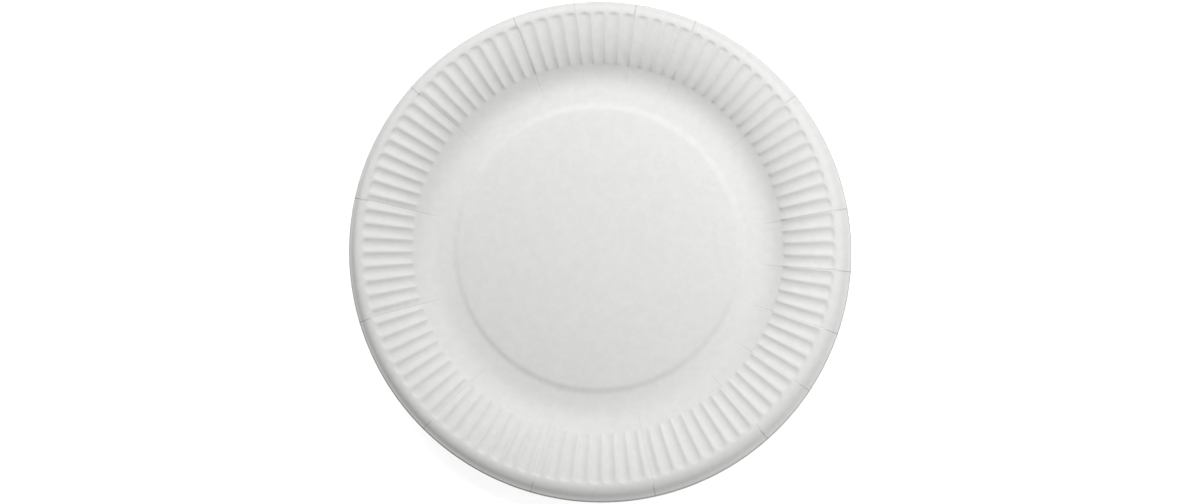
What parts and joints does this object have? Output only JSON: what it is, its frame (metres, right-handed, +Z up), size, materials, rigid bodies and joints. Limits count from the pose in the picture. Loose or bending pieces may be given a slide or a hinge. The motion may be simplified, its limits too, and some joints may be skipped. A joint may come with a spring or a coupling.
{
  "type": "paper plate",
  "caption": "Round white pressed paperboard plate with a raised flat middle, a fluted sloping wall and a turned-down lip.",
  "frame": {"origin": "centre of the plate on the plane of the foot ring that it stands on", "axes": "+Z up along the plate's axis, out of the food side; +X and +Y in the plane of the foot ring"},
  "size_m": [0.23, 0.23, 0.019],
  "materials": {
    "paperboard": "matte"
  },
  "bodies": {
    "root": {"plate": "paperboard"}
  },
  "joints": []
}
